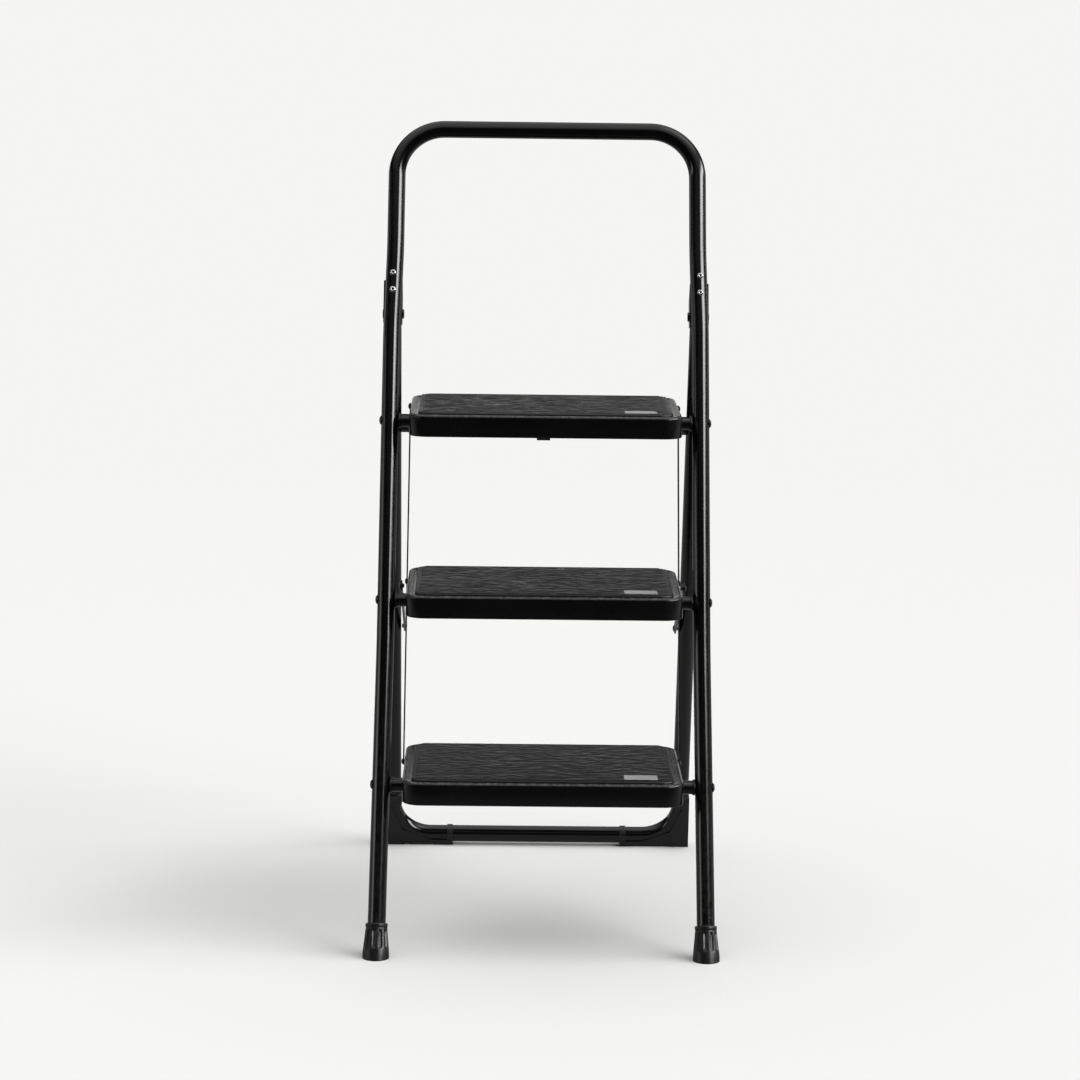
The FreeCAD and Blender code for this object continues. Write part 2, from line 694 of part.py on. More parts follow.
def foot_sole(name, side):
    """Everything below the foot: the floor, and the hollow between its two pads."""
    foot_y = PIVOT.y + size("pivot_height") * math.tan(REAR)
    body = new_body(f"sole_{name}", Placement(Vector(0, foot_y, 0), Rotation()))
    outer = f"( rear_half_width + tube_diameter / 2 + rear_foot_side + {OVERCUT} )"
    inner = f"( rear_foot_inner - {OVERCUT} )"
    hollow_end = "rear_foot_pad - rear_foot_hollow_width"
    outline = [
        (outer, "- 2 * rear_foot_below"),
        (outer, "0"),
        ("rear_foot_pad", "0"),
        ("rear_foot_pad - rear_foot_hollow_slope", "rear_foot_hollow"),
        (f"{hollow_end} + rear_foot_inner_slope", "rear_foot_hollow"),
        (hollow_end, "0"),
        (inner, "0"),
        (inner, "- 2 * rear_foot_below"),
    ]
    sketch = new_sketch(body, "XZ_Plane")
    draw_lines(sketch, [(f"{side} * ( {x} )", y) for x, y in outline])
    pad(body, sketch, f"{CUTTER}", both_ways=True)
    return body


def rear_foot(name, side):
    """Moulded plastic foot that cups the outside of a bend of the rear tube.

    It is a closed sleeve at its top and at its inner end, and between them leaves
    the inner side of the tube free.
    """
    body = new_body(f"rear_foot_block_{name}", REAR_PLANE)
    sketch = new_sketch(body, "XY_Plane")
    axis = f"- {REAR_LEG:.3f}"
    outer = "rear_half_width + tube_diameter / 2 + rear_foot_side"
    sleeve = "( tube_diameter / 2 + rear_foot_wall )"
    top = f"{axis} + rear_bend + rear_foot_sleeve"
    cup = "( rear_foot_cup / sqrt( 2 ) )"
    outline = [
        (f"rear_half_width - {sleeve}", top),
        (f"{outer} - rear_foot_taper", top),
        (outer, f"{axis} - rear_foot_below"),
        ("rear_foot_inner", f"{axis} - rear_foot_below"),
        ("rear_foot_inner", f"{axis} + rear_bend - rear_foot_cup"),
        ("rear_half_width - rear_bend", f"{axis} + rear_bend - rear_foot_cup"),
        (f"rear_half_width - rear_bend + {cup}", f"{axis} + rear_bend - {cup}"),
        ("rear_half_width - rear_bend + rear_foot_cup", f"{axis} + rear_bend"),
        (f"rear_half_width - {sleeve}", f"{axis} + rear_bend + rear_foot_step"),
    ]
    draw_lines(sketch, [(f"{side} * ( {x} )", y) for x, y in outline])
    pad(body, sketch, "rear_foot_depth", both_ways=True)
    collar = new_sketch(body, "YZ_Plane", f"{side} * rear_foot_inner")
    draw_circle(collar, axis, "0", f"2 * {sleeve}")
    pad(body, collar, "rear_foot_collar", back=side < 0)
    rod = new_body(f"rear_foot_bore_{name}", REAR_PLANE)
    path = rear_tube_path(rod, f"- {CUTTER}")
    profile = new_sketch(rod, "XZ_Plane", f"{CUTTER}")
    draw_circle(profile, "rear_half_width", "0", "tube_diameter + 2 * fit_gap")
    pipe(rod, path, profile)
    hollow = difference(f"rear_foot_hollow_{name}", body, rod)
    return difference(f"rear_foot_{name}", hollow, foot_sole(name, side))


# ---- treads: local origin on the crossbar axis, y to the rear, z up ----

def draw_rectangle(sketch, half_width, front, rear):
    draw_lines(sketch, [
        (f"- ( {half_width} )", front),
        (half_width, front),
        (half_width, rear),
        (f"- ( {half_width} )", rear),
    ])


def tread_pan(name, step):
    """Pressed steel tread with a deep skirt all round."""
    body = new_body(f"tread_pan_{name}", Placement(hinge_point(step), Rotation()))
    outline = new_sketch(body, "XY_Plane", "crossbar_drop - tread_skirt")
    draw_rectangle(outline, "tread_width / 2", "- tread_front", "tread_rear")
    pad(body, outline, "tread_skirt")
    round_edges(body, is_upright, "tread_corner")
    round_edges(body, at_height(size("crossbar_drop")), "tread_edge")
    doc.recompute()
    base = body.Tip
    bottom = min(range(len(base.Shape.Faces)), key=lambda n: base.Shape.Faces[n].CenterOfMass.z)
    shell = body.newObject("PartDesign::Thickness", "Thickness")
    shell.Base = (base, [f"Face{bottom + 1}"])
    shell.setExpression("Value", bound("tread_sheet"))
    shell.Reversed = True
    shell.Join = 0
    body.Tip = shell
    holes = new_sketch(body, "YZ_Plane")
    draw_circle(holes, "0", "0", "crossbar_diameter + 2 * fit_gap")
    draw_circle(holes, "link_back", "link_up", "link_rivet_diameter + 2 * fit_gap")
    if name == "mid":
        draw_circle(holes, "strut_back", "- strut_down", "strut_rivet_diameter + 2 * fit_gap")
    cut_through(body, holes)
    return body


def tread_mat(name, step):
    """Rubber mat on the pan."""
    body = new_body(f"tread_mat_{name}", Placement(hinge_point(step), Rotation()))
    outline = new_sketch(body, "XY_Plane", "crossbar_drop + fit_gap")
    draw_rectangle(
        outline, "tread_width / 2 - mat_side_inset",
        "- tread_front + mat_end_inset", "tread_rear - mat_end_inset",
    )
    pad(body, outline, "mat_thickness")
    round_edges(body, is_upright, "mat_corner")
    return body


def tread_badge(name, step):
    """Plain plate near the front right corner of the mat."""
    body = new_body(f"tread_badge_{name}", Placement(hinge_point(step), Rotation()))
    outline = new_sketch(body, "XY_Plane", "crossbar_drop + 2 * fit_gap + mat_thickness")
    front = "( - tread_front + mat_end_inset + badge_setback - badge_depth / 2 )"
    draw_lines(outline, [
        ("badge_x - badge_width / 2", front),
        ("badge_x + badge_width / 2", front),
        ("badge_x + badge_width / 2", f"{front} + badge_depth"),
        ("badge_x - badge_width / 2", f"{front} + badge_depth"),
    ])
    pad(body, outline, "badge_thickness")
    return body


# ---- link bars and struts ----

def flat_bar(label, place, stations, width, hole, thickness):
    """Flat bar in its yz plane, along y from the first station to the last, with a hole at each."""
    body = new_body(label, place)
    sketch = new_sketch(body, "YZ_Plane")
    start, end = stations[0], stations[-1]
    half = f"{width} / 2"
    draw_lines(sketch, [(start, f"- {half}"), (end, f"- {half}"), (end, half), (start, half)])
    pad(body, sketch, thickness)
    ends = new_sketch(body, "YZ_Plane")
    for station in (start, end):
        draw_circle(ends, station, "0", width)
    pad(body, ends, thickness)
    holes = new_sketch(body, "YZ_Plane")
    for station in stations:
        draw_circle(holes, station, "0", f"{hole} + 2 * fit_gap")
    cut_through(body, holes)
    return body


def link_point(step):
    return hinge_point(step) + Vector(0, size("link_back"), size("link_up"))


def link_bar(name, side):
    """Flat bar that joins the three treads on one side and keeps them level."""
    lowest = link_point(0)
    turn = Rotation(Vector(1, 0, 0), 90 - math.degrees(FRONT))
    x = size("link_x") if side > 0 else -size("link_x + link_thickness")
    place = Placement(lowest + Vector(x, 0, 0), turn)
    stations = ["0", "tread_spacing / cos( front_lean )", "2 * tread_spacing / cos( front_lean )"]
    return flat_bar(
        f"link_bar_{name}", place, stations,
        "link_width", "link_rivet_diameter", "link_thickness",
    )


def link_rivets():
    """Rivets of the link bars, one in the side of each tread."""
    pins = []
    reach = size("link_x + link_thickness + fit_gap")
    length = f"link_x + link_thickness + 2 * fit_gap - tread_width / 2 + tread_sheet + {TAIL_GAP}"
    for step_name, step in TREADS:
        for name, side in SIDES:
            place = Placement(
                link_point(step) + Vector(side * reach, 0, 0), Rotation(Vector(0, 0, 1), side * 90)
            )
            pins.append(headed_pin(
                f"link_rivet_{step_name}_{name}", place, "link_rivet_diameter", length,
                "link_head_diameter", "link_head_height",
            ))
    return group("link_rivets", pins)


def strut_upper_point():
    return hinge_point(1) + Vector(0, size("strut_back"), -size("strut_down"))


def strut_lower_point():
    reach = size("strut_leg_distance")
    return PIVOT + Vector(0, reach * math.sin(REAR), -reach * math.cos(REAR))


def strut(name, side):
    """Flat bar from the middle tread to the rear leg."""
    upper = strut_upper_point()
    lower = strut_lower_point()
    run = lower - upper
    turn = Rotation(Vector(1, 0, 0), math.degrees(math.atan2(run.z, run.y)))
    x = size("strut_x") if side > 0 else -size("strut_x + strut_thickness")
    place = Placement(upper + Vector(x, 0, 0), turn)
    return flat_bar(
        f"strut_{name}", place, ["0", f"{run.Length:.3f}"],
        "strut_width", "strut_rivet_diameter", "strut_thickness",
    )


def strut_upper_rivets():
    """Shouldered rivets between the middle tread and the struts."""
    pins = []
    reach = size("strut_x + strut_thickness + fit_gap")
    length = f"strut_x + strut_thickness + 2 * fit_gap - tread_width / 2 + tread_sheet + {TAIL_GAP}"
    for name, side in SIDES:
        place = Placement(
            strut_upper_point() + Vector(side * reach, 0, 0), Rotation(Vector(0, 0, 1), side * 90)
        )
        pins.append(headed_pin(
            f"strut_upper_rivet_{name}", place, "strut_rivet_diameter", length,
            "strut_head_diameter", "strut_head_height",
        ))
    return group("strut_upper_rivets", pins)


def strut_lower_rivets():
    """Pins at the lower ends of the struts; they stop just short of the rear legs."""
    pins = []
    reach = size("strut_x - fit_gap")
    length = f"rear_half_width - tube_diameter / 2 - strut_x - {PIN_GAP}"
    for name, side in SIDES:
        place = Placement(
            strut_lower_point() + Vector(side * reach, 0, 0), Rotation(Vector(0, 0, 1), -side * 90)
        )
        pins.append(headed_pin(
            f"strut_lower_rivet_{name}", place, "strut_rivet_diameter", length,
            "strut_head_diameter", "strut_head_height", tail=False,
        ))
    return group("strut_lower_rivets", pins)


# ---- safety latch under the top tread ----

def latch_pin_point():
    crossbar = rear_crossbar_place().Base
    back = size("crossbar_diameter / 2 + latch_gap + latch_thickness / 2")
    height = size("tread_low_height + 2 * tread_spacing - latch_pin_drop")
    return Vector(0, crossbar.y + back, height)


def safety_latch():
    """Plastic latch that hangs behind the rear crossbar."""
    pin = latch_pin_point()
    body = new_body("safety_latch", Placement(pin, Rotation()))
    drop = f"( {pin.z:.3f} - latch_tip_height )"
    half = "latch_thickness / 2"
    sketch = new_sketch(body, "YZ_Plane")
    draw_lines(sketch, [
        (f"- {half}", f"- {drop} + latch_lip"),
        (f"- {half} + latch_lip", f"- {drop}"),
        (f"{half} + latch_hook", f"- {drop}"),
        (f"{half} + latch_hook + latch_lip", f"- {drop} + latch_lip"),
        (f"{half} + latch_lip", f"- {drop} + latch_hook_height / 2"),
        (half, f"- {drop} + latch_hook_height"),
        (half, "0"),
        (f"- {half}", "0"),
    ])
    pad(body, sketch, "latch_width", both_ways=True)
    eye = new_sketch(body, "YZ_Plane")
    draw_circle(eye, "0", "0", "latch_pin_diameter + 2 * latch_eye")
    pad(body, eye, "latch_width", both_ways=True)
    bore = new_sketch(body, "YZ_Plane")
    draw_circle(bore, "0", "0", "latch_pin_diameter + 2 * fit_gap")
    cut_through(body, bore)
    return body


def latch_pin():
    body = new_body("latch_pin", Placement(latch_pin_point(), Rotation()))
    sketch = new_sketch(body, "YZ_Plane")
    draw_circle(sketch, "0", "0", "latch_pin_diameter")
    pad(body, sketch, "latch_width + 4 * latch_ear", both_ways=True)
    return body


def latch_bracket():
    """Folded sheet under the pan whose two ears hold the latch pin."""
    body = new_body("latch_bracket", Placement(latch_pin_point(), Rotation()))
    top = "latch_pin_drop - tread_sheet - fit_gap"
    inner = "( latch_width / 2 + latch_ear_gap )"
    outer = "( latch_width / 2 + latch_ear_gap + latch_ear )"
    section = new_sketch(body, "XZ_Plane")
    draw_lines(section, [
        (f"- {outer}", top),
        (outer, top),
        (outer, "- latch_ear_drop"),
        (inner, "- latch_ear_drop"),
        (inner, f"{top} - latch_ear"),
        (f"- {inner}", f"{top} - latch_ear"),
        (f"- {inner}", "- latch_ear_drop"),
        (f"- {outer}", "- latch_ear_drop"),
    ])
    pad(body, section, "latch_bracket_depth", both_ways=True)
    bore = new_sketch(body, "YZ_Plane")
    draw_circle(bore, "0", "0", "latch_pin_diameter + 2 * fit_gap")
    cut_through(body, bore)
    return body


def build_all():
    single = (
        front_tube, tie_rods, crossbar_bushes, bracket_rivets, pivot_bolts, pivot_nuts,
        rear_tube, rear_crossbar, rear_tie_rod, link_rivets,
        strut_upper_rivets, strut_lower_rivets, safety_latch, latch_pin, latch_bracket,
    )
    nodes = [make() for make in single]
    for name, step in TREADS:
        nodes += [make(name, step) for make in (crossbar, tread_pan, tread_mat, tread_badge)]
    for name, side in SIDES:
        nodes += [make(name, side) for make in (hinge_bracket, ferrule, rear_foot, link_bar, strut)]
    return nodes


def check(nodes):
    """Stop before anything is written if a feature or a shape is not sound."""
    doc.recompute()
    for item in doc.Objects:
        if "Invalid" in item.State or "Error" in item.State:
            raise SystemExit(f"{item.Name} of {item.Label} failed: {item.State}")
    for node in nodes:
        if node.Shape.isNull() or not node.Shape.isValid() or not node.Shape.Solids:
            raise SystemExit(f"{node.Label} has no valid solid")


def write(nodes):
    os.makedirs("parts", exist_ok=True)
    for node in nodes:
        node.Shape.exportStep(f"parts/{node.Label}.step")


nodes = build_all()
check(nodes)
write(nodes)
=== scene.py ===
"""Looks of a folding three-tread step ladder with a tall handrail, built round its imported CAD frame."""
import bmesh
import bpy
import json
import math
from mathutils import Matrix, Vector, noise


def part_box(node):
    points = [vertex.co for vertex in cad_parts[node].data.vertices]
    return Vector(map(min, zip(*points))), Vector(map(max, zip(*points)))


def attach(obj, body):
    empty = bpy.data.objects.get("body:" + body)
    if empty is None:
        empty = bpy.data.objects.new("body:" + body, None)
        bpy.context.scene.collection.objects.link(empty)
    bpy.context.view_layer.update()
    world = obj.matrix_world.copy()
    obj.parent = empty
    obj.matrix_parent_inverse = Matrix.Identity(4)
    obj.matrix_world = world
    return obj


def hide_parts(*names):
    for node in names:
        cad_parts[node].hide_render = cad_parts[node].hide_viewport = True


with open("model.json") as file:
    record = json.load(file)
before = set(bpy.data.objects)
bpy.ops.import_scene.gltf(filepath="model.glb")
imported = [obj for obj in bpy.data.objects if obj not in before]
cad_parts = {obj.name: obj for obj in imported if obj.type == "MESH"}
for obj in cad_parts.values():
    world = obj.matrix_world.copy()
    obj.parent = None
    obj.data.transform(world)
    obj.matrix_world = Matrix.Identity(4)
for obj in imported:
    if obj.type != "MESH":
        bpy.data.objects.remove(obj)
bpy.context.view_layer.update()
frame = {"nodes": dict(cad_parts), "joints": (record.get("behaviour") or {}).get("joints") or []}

# ---- places, from the frame's joints and the lean of the rear legs ----

JOINTS = {joint["name"]: Vector(joint["pos_m"]) for joint in frame["joints"]}
TREADS = ("low", "mid", "top")
SIDES = (("left", -1), ("right", 1))
HINGES = {tread: JOINTS[f"tread_{tread}_fold"] for tread in TREADS}
PIVOT = JOINTS["rear_frame_fold"]
ACROSS = Vector((1, 0, 0))
UP_FRONT = (HINGES["top"] - HINGES["low"]).normalized()
BASE = HINGES["low"] - UP_FRONT * (HINGES["low"].z / UP_FRONT.z)
OUT_FRONT = Vector((0, -UP_FRONT.z, UP_FRONT.y))
REAR_LEAN = math.radians(23)
UP_REAR = Vector((0, -math.sin(REAR_LEAN), math.cos(REAR_LEAN)))
OUT_REAR = Vector((0, -math.cos(REAR_LEAN), -math.sin(REAR_LEAN)))

# ---- sizes in metres, the same as in the CAD ----

TUBE = 0.0125
TUBE_WALL = 0.0012
FLOOR_WIDTH, WAIST_WIDTH, GRIP_WIDTH = 0.2292, 0.2249, 0.2218
LOWER_KINK, WAIST_KINK, GRIP_KINK, GRIP_TOP = 0.430, 0.885, 1.000, 1.1839
REAR_WIDTH, REAR_BAR_HEIGHT, REAR_TOP = 0.2245, 0.0165, 0.012
GRIP_BEND, REAR_BEND, KINK_BEND = 0.070, 0.060, 1.5
CROSSBAR = 0.0095
PAN_SHEET, PAN_CORNER, MAT_CORNER = 0.0012, 0.028, 0.020
BRACKET_RIVETS, BRACKET_BACK = (0.9395, 0.9645), 0.0013


def front_point(x, up, out=0.0):
    """Point given across the ladder, along the front leg and towards the climber."""
    return BASE + ACROSS * x + UP_FRONT * up + OUT_FRONT * out


def rear_point(x, up, out=0.0):
    return PIVOT + ACROSS * x + UP_REAR * up + OUT_REAR * out


# ---- materials ----

PATCH_SCALE, SCUFF_SCALE = 14.0, 160.0
# The first grey is settled dust, and on the tread pans' tops also a painted sheen; the second is rubbed
# paint on edges.
DUST_AND_SHEEN_GREY, WORN_GREY = 0.32, 0.16


class Nodes:
    """Short way to write the node tree of a material or a world."""

    def __init__(self, owner):
        owner.use_nodes = True
        self.owner = owner
        self.tree = owner.node_tree
        self.tree.nodes.clear()

    def add(self, kind, inputs=None, **settings):
        node = self.tree.nodes.new(kind)
        for key, value in settings.items():
            setattr(node, key, value)
        for key, value in (inputs or {}).items():
            if isinstance(value, bpy.types.NodeSocket):
                self.tree.links.new(value, node.inputs[key])
            else:
                node.inputs[key].default_value = value
        return node

    def noise(self, place, scale, detail=2.0, roughness=0.5):
        node = self.add("ShaderNodeTexNoise", {
            "Vector": place, "Scale": scale, "Detail": detail, "Roughness": roughness,
        })
        return node.outputs["Fac"]

    def span(self, value, low, high, to_low, to_high):
        """Value between low and high turned into a value between to_low and to_high."""
        node = self.add("ShaderNodeMapRange", {
            "Value": value, "From Min": low, "From Max": high, "To Min": to_low, "To Max": to_high,
        })
        return node.outputs["Result"]

    def maths(self, operation, first, second=0.0):
        return self.add("ShaderNodeMath", {0: first, 1: second}, operation=operation).outputs[0]

    def mix(self, share, first, second):
        node = self.add("ShaderNodeMix", {"Factor": share, "A": first, "B": second}, data_type="RGBA")
        return node.outputs["Result"]

    def bump(self, height, strength, distance, normal=None):
        inputs = {"Height": height, "Strength": strength, "Distance": distance}
        if normal is not None:
            inputs["Normal"] = normal
        return self.add("ShaderNodeBump", inputs).outputs["Normal"]


def colour(level, warmth=0.0):
    """Grey of that level, slightly warm above zero and slightly cool below it."""
    return (level * (1 + warmth), level, level * (1 - warmth), 1.0)


def coat(name, level, rough, rough_spread, grain_scale, grain_strength, grain_height,
         wave_scale=60.0, wave_strength=0.0, wave_height=0.0001,
         wear=0.0, metallic=0.0, warmth=0.0, dust_and_sheen=0.0):
    """Paint, plastic or metal with a fine grain, uneven gloss, edges worn lighter and upward faces greyed:
    dust, and where that share is large also a painted sheen.
    """
    nodes = Nodes(bpy.data.materials.new(name))
    place = nodes.add("ShaderNodeTexCoord").outputs["Object"]
    grain = nodes.noise(place, grain_scale, 3.0, 0.6)
    patches = nodes.noise(place, PATCH_SCALE, 4.0, 0.6)
    scuffs = nodes.noise(place, SCUFF_SCALE, 5.0, 0.7)
    shade = nodes.mix(nodes.span(patches, 0.35, 0.65, 0.0, 1.0),
                      colour(level * 0.85, warmth), colour(level * 1.2, warmth))
    # Upward faces mixed towards grey: dust where the share is small, dust and a painted sheen of the
    # grazing light where it is large.
    if dust_and_sheen:
        facing = nodes.add("ShaderNodeSeparateXYZ", {
            "Vector": nodes.add("ShaderNodeNewGeometry").outputs["Normal"],
        }).outputs["Z"]
        dust_and_sheen_share = nodes.maths("MULTIPLY", nodes.span(facing, 0.2, 1.0, 0.0, dust_and_sheen),
                              nodes.span(scuffs, 0.45, 0.75, 0.2, 1.0))
        shade = nodes.mix(dust_and_sheen_share, shade, colour(DUST_AND_SHEEN_GREY, 0.03))
    if wear:
        edge = nodes.add("ShaderNodeNewGeometry").outputs["Pointiness"]
        worn = nodes.maths("MULTIPLY", nodes.span(edge, 0.53, 0.62, 0.0, wear),
                           nodes.span(scuffs, 0.4, 0.6, 0.0, 1.0))
        shade = nodes.mix(worn, shade, colour(WORN_GREY))
    roughness = nodes.span(nodes.maths("ADD", patches, nodes.maths("MULTIPLY", scuffs, 0.6)),
                           0.55, 1.05, rough - rough_spread, rough + rough_spread)
    normal = None
    if wave_strength:
        waves = nodes.noise(place, wave_scale, 1.0, 0.4)
        normal = nodes.bump(waves, wave_strength, wave_height)
    normal = nodes.bump(grain, grain_strength, grain_height, normal)
    shader = nodes.add("ShaderNodeBsdfPrincipled", {
        "Base Color": shade, "Roughness": roughness, "Metallic": metallic, "Normal": normal, "IOR": 1.5,
    })
    nodes.add("ShaderNodeOutputMaterial", {"Surface": shader.outputs["BSDF"]})
    return nodes.owner


FRAME_PAINT = coat("frame_paint_look", 0.0025, 0.15, 0.03, 1100, 0.5, 0.000012, 160.0, 0.5, 0.00002,
                   wear=0.12, warmth=-0.03)
# Its large grey share on upward faces paints the pan's top border light: partly dust, partly a painted
# sheen of the grazing light.
TREAD_PAINT = coat("tread_paint_look", 0.003, 0.24, 0.04, 1000, 0.6, 0.00004,
                   wear=0.2, warmth=-0.01, dust_and_sheen=0.45)
BAR_PAINT = coat("bar_paint_look", 0.006, 0.32, 0.05, 1200, 0.5, 0.00002, wear=0.3, dust_and_sheen=0.01)
HARDWARE = coat("black_hardware_look", 0.006, 0.28, 0.08, 900, 0.5, 0.00002, wear=0.4)
RIVET = coat("bright_rivet_look", 0.62, 0.24, 0.1, 700, 0.5, 0.00003, metallic=1.0, warmth=0.01)
RUBBER = coat("foot_rubber_look", 0.004, 0.36, 0.08, 800, 0.6, 0.00006, wear=0.1, dust_and_sheen=0.015)
PLASTIC = coat("foot_plastic_look", 0.005, 0.40, 0.07, 1100, 0.6, 0.00006, wear=0.15, dust_and_sheen=0.015)
BUSH = coat("bush_plastic_look", 0.006, 0.38, 0.06, 900, 0.5, 0.00003)
BADGE = coat("badge_plate_look", 0.32, 0.36, 0.06, 600, 0.5, 0.00002, warmth=0.01)
MAT = coat("mat_rubber_look", 0.003, 0.32, 0.06, 620, 0.6, 0.0001, 60.0, 0.5, 0.0001,
           wear=0.05, warmth=0.02, dust_and_sheen=0.02)
# Near black for the mandrel stubs: painted shade in the rivets' hollow middles.
PAINTED_SHADE_BORE = coat("rivet_bore_painted_shade_look", 0.004, 0.7, 0.1, 900, 0.4, 0.0001)


# ---- mesh building ----

def rounded_path(points, radii, steps=10, closed=False):
    """The polyline with an arc of the given radius at each inner corner."""
    count = len(points)
    made = []
    for number, corner in enumerate(points):
        radius = radii[number] if isinstance(radii, (list, tuple)) else radii
        if not closed and number in (0, count - 1) or radius <= 0:
            made.append(corner.copy())
            continue
        before = (points[number - 1] - corner)
        after = (points[(number + 1) % count] - corner)
        room = min(before.length, after.length)
        before.normalize()
        after.normalize()
        inside = before.angle(after)
        if inside > math.pi - 1e-4:
            made.append(corner.copy())
            continue
        if closed or count > 2:
            radius = min(radius, room * 0.49 * math.tan(inside / 2))
        reach = radius / math.tan(inside / 2)
        centre = corner + (before + after).normalized() * (radius / math.sin(inside / 2))
        start, end = corner + before * reach - centre, corner + after * reach - centre
        sweep_angle = math.pi - inside
        for step in range(steps + 1):
            share = step / steps
            made.append(centre + (
                start * math.sin((1 - share) * sweep_angle) + end * math.sin(share * sweep_angle)
            ) / math.sin(sweep_angle))
    return made


def bridge(bm, rings, closed_around=True):
    """Quads between rings that each have the same number of vertices."""
    for low, high in zip(rings, rings[1:]):
        count = len(low)
        last = count if closed_around else count - 1
        for number in range(last):
            following = (number + 1) % count
            bm.faces.new((low[number], low[following], high[following], high[number]))


def cap(bm, ring, flip=False):
    bm.faces.new(list(reversed(ring)) if flip else ring)


def ring_of(bm, points):
    return [bm.verts.new(point) for point in points]


def circle(centre, along, side, radius, around):
    """Points round centre, in the plane square to along; side is one direction in that plane."""
    other = along.cross(side).normalized()
    angles = [math.tau * k / around for k in range(around)]
    return [
        centre + side * (radius * math.cos(angle)) + other * (radius * math.sin(angle)) for angle in angles
    ]


def tube(bm, path, flat, radius, wall, around=64, open_depth=0.03):
    """Open-ended tube swept along a flat path; flat is the direction square to the path's plane."""
    tangents = []
    for number in range(len(path)):
        before = path[max(number - 1, 0)]
        after = path[min(number + 1, len(path) - 1)]
        tangents.append((after - before).normalized())
    inside = path[0] + tangents[0] * open_depth
    rings = [ring_of(bm, circle(inside, tangents[0], flat, radius - wall, around)),
             ring_of(bm, circle(path[0], tangents[0], flat, radius - wall, around))]
    for point, along in zip(path, tangents):
        rings.append(ring_of(bm, circle(point, along, flat, radius, around)))
    inside = path[-1] - tangents[-1] * open_depth
    rings.append(ring_of(bm, circle(path[-1], tangents[-1], flat, radius - wall, around)))
    rings.append(ring_of(bm, circle(inside, tangents[-1], flat, radius - wall, around)))
    bridge(bm, rings)
    cap(bm, rings[0], flip=True)
    cap(bm, rings[-1])


def lathe(bm, profile, place, around=40, shape=None):
    """Profile of (radius, height) pairs turned about the z axis of place, from one pole to the other.

    A profile that never reaches the axis is closed on itself, as a ring. Shape may change
    the radius: it is given the angle, the radius and the height.
    """
    rings = []
    for radius, height in profile:
        if radius < 1e-6:
            rings.append([bm.verts.new(place @ Vector((0, 0, height)))])
            continue
        points = []
        for k in range(around):
            angle = math.tau * k / around
            reach = shape(angle, radius, height) if shape else radius
            points.append(place @ Vector((reach * math.cos(angle), reach * math.sin(angle), height)))
        rings.append(ring_of(bm, points))
    pairs = list(zip(rings, rings[1:]))
    if len(rings[0]) > 1 and len(rings[-1]) > 1:
        pairs.append((rings[-1], rings[0]))
    for low, high in pairs:
        for k in range(around):
            following = (k + 1) % around
            if len(low) == 1:
                bm.faces.new((low[0], high[following], high[k]))
            elif len(high) == 1:
                bm.faces.new((low[k], low[following], high[0]))
            else:
                bm.faces.new((low[k], low[following], high[following], high[k]))


def axis_at(origin, direction):
    """Matrix whose z axis starts at origin and points along direction."""
    return Matrix.Translation(origin) @ direction.to_track_quat("Z", "Y").to_matrix().to_4x4()


def rounded_profile(pairs, radius, steps=3):
    """The profile with its inner corners rounded."""
    points = rounded_path([Vector(pair) for pair in pairs], radius, steps)
    return [(max(point.x, 0.0), point.y) for point in points]


def piece(name, bm, body, nodes, material, sharp=32):
    """Turn the mesh into a piece that rides on its body and stands for CAD nodes."""
    bmesh.ops.recalc_face_normals(bm, faces=bm.faces)
    mesh = bpy.data.meshes.new(name)
    bm.to_mesh(mesh)
    bm.free()
    mesh.shade_smooth()
    mesh.set_sharp_from_angle(angle=math.radians(sharp))
    mesh.materials.append(material)
    obj = bpy.data.objects.new(name, mesh)
    bpy.context.scene.collection.objects.link(obj)
    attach(obj, body)
    if nodes:
        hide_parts(*nodes)
    return obj


def softened(node, body, material, width):
    """Copy of a CAD node, without its inner triangle edges and with its sharp edges rounded."""
    source = frame["nodes"][node].data
    bm = bmesh.new()
    vertices = [bm.verts.new(vertex.co) for vertex in source.vertices]
    for polygon in source.polygons:
        corners = [vertices[index] for index in polygon.vertices]
        if len(set(corners)) > 2:
            try:
                bm.faces.new(corners)
            except ValueError:
                continue
    bmesh.ops.remove_doubles(bm, verts=bm.verts, dist=3e-6)
    bmesh.ops.dissolve_degenerate(bm, edges=bm.edges, dist=1e-6)
    bmesh.ops.dissolve_limit(bm, angle_limit=math.radians(0.6), verts=bm.verts, edges=bm.edges)
    bmesh.ops.recalc_face_normals(bm, faces=bm.faces)
    obj = piece(f"{node}_look", bm, body, [node], material)
    bevel = obj.modifiers.new("edges", "BEVEL")
    bevel.width = width
    bevel.segments = 3
    bevel.limit_method = "ANGLE"
    bevel.angle_limit = math.radians(28)
    bevel.use_clamp_overlap = True
    bevel.harden_normals = False


# ---- front frame ----

def front_width(up):
    """Half width of the front frame at that distance along the leg."""
    stations = ((0.0, FLOOR_WIDTH), (LOWER_KINK, WAIST_WIDTH), (WAIST_KINK, WAIST_WIDTH),
                (GRIP_KINK, GRIP_WIDTH), (GRIP_TOP, GRIP_WIDTH))
    for (low, wide), (high, narrow) in zip(stations, stations[1:]):
        if up <= high:
            return wide + (narrow - wide) * (up - low) / (high - low)
    return GRIP_WIDTH


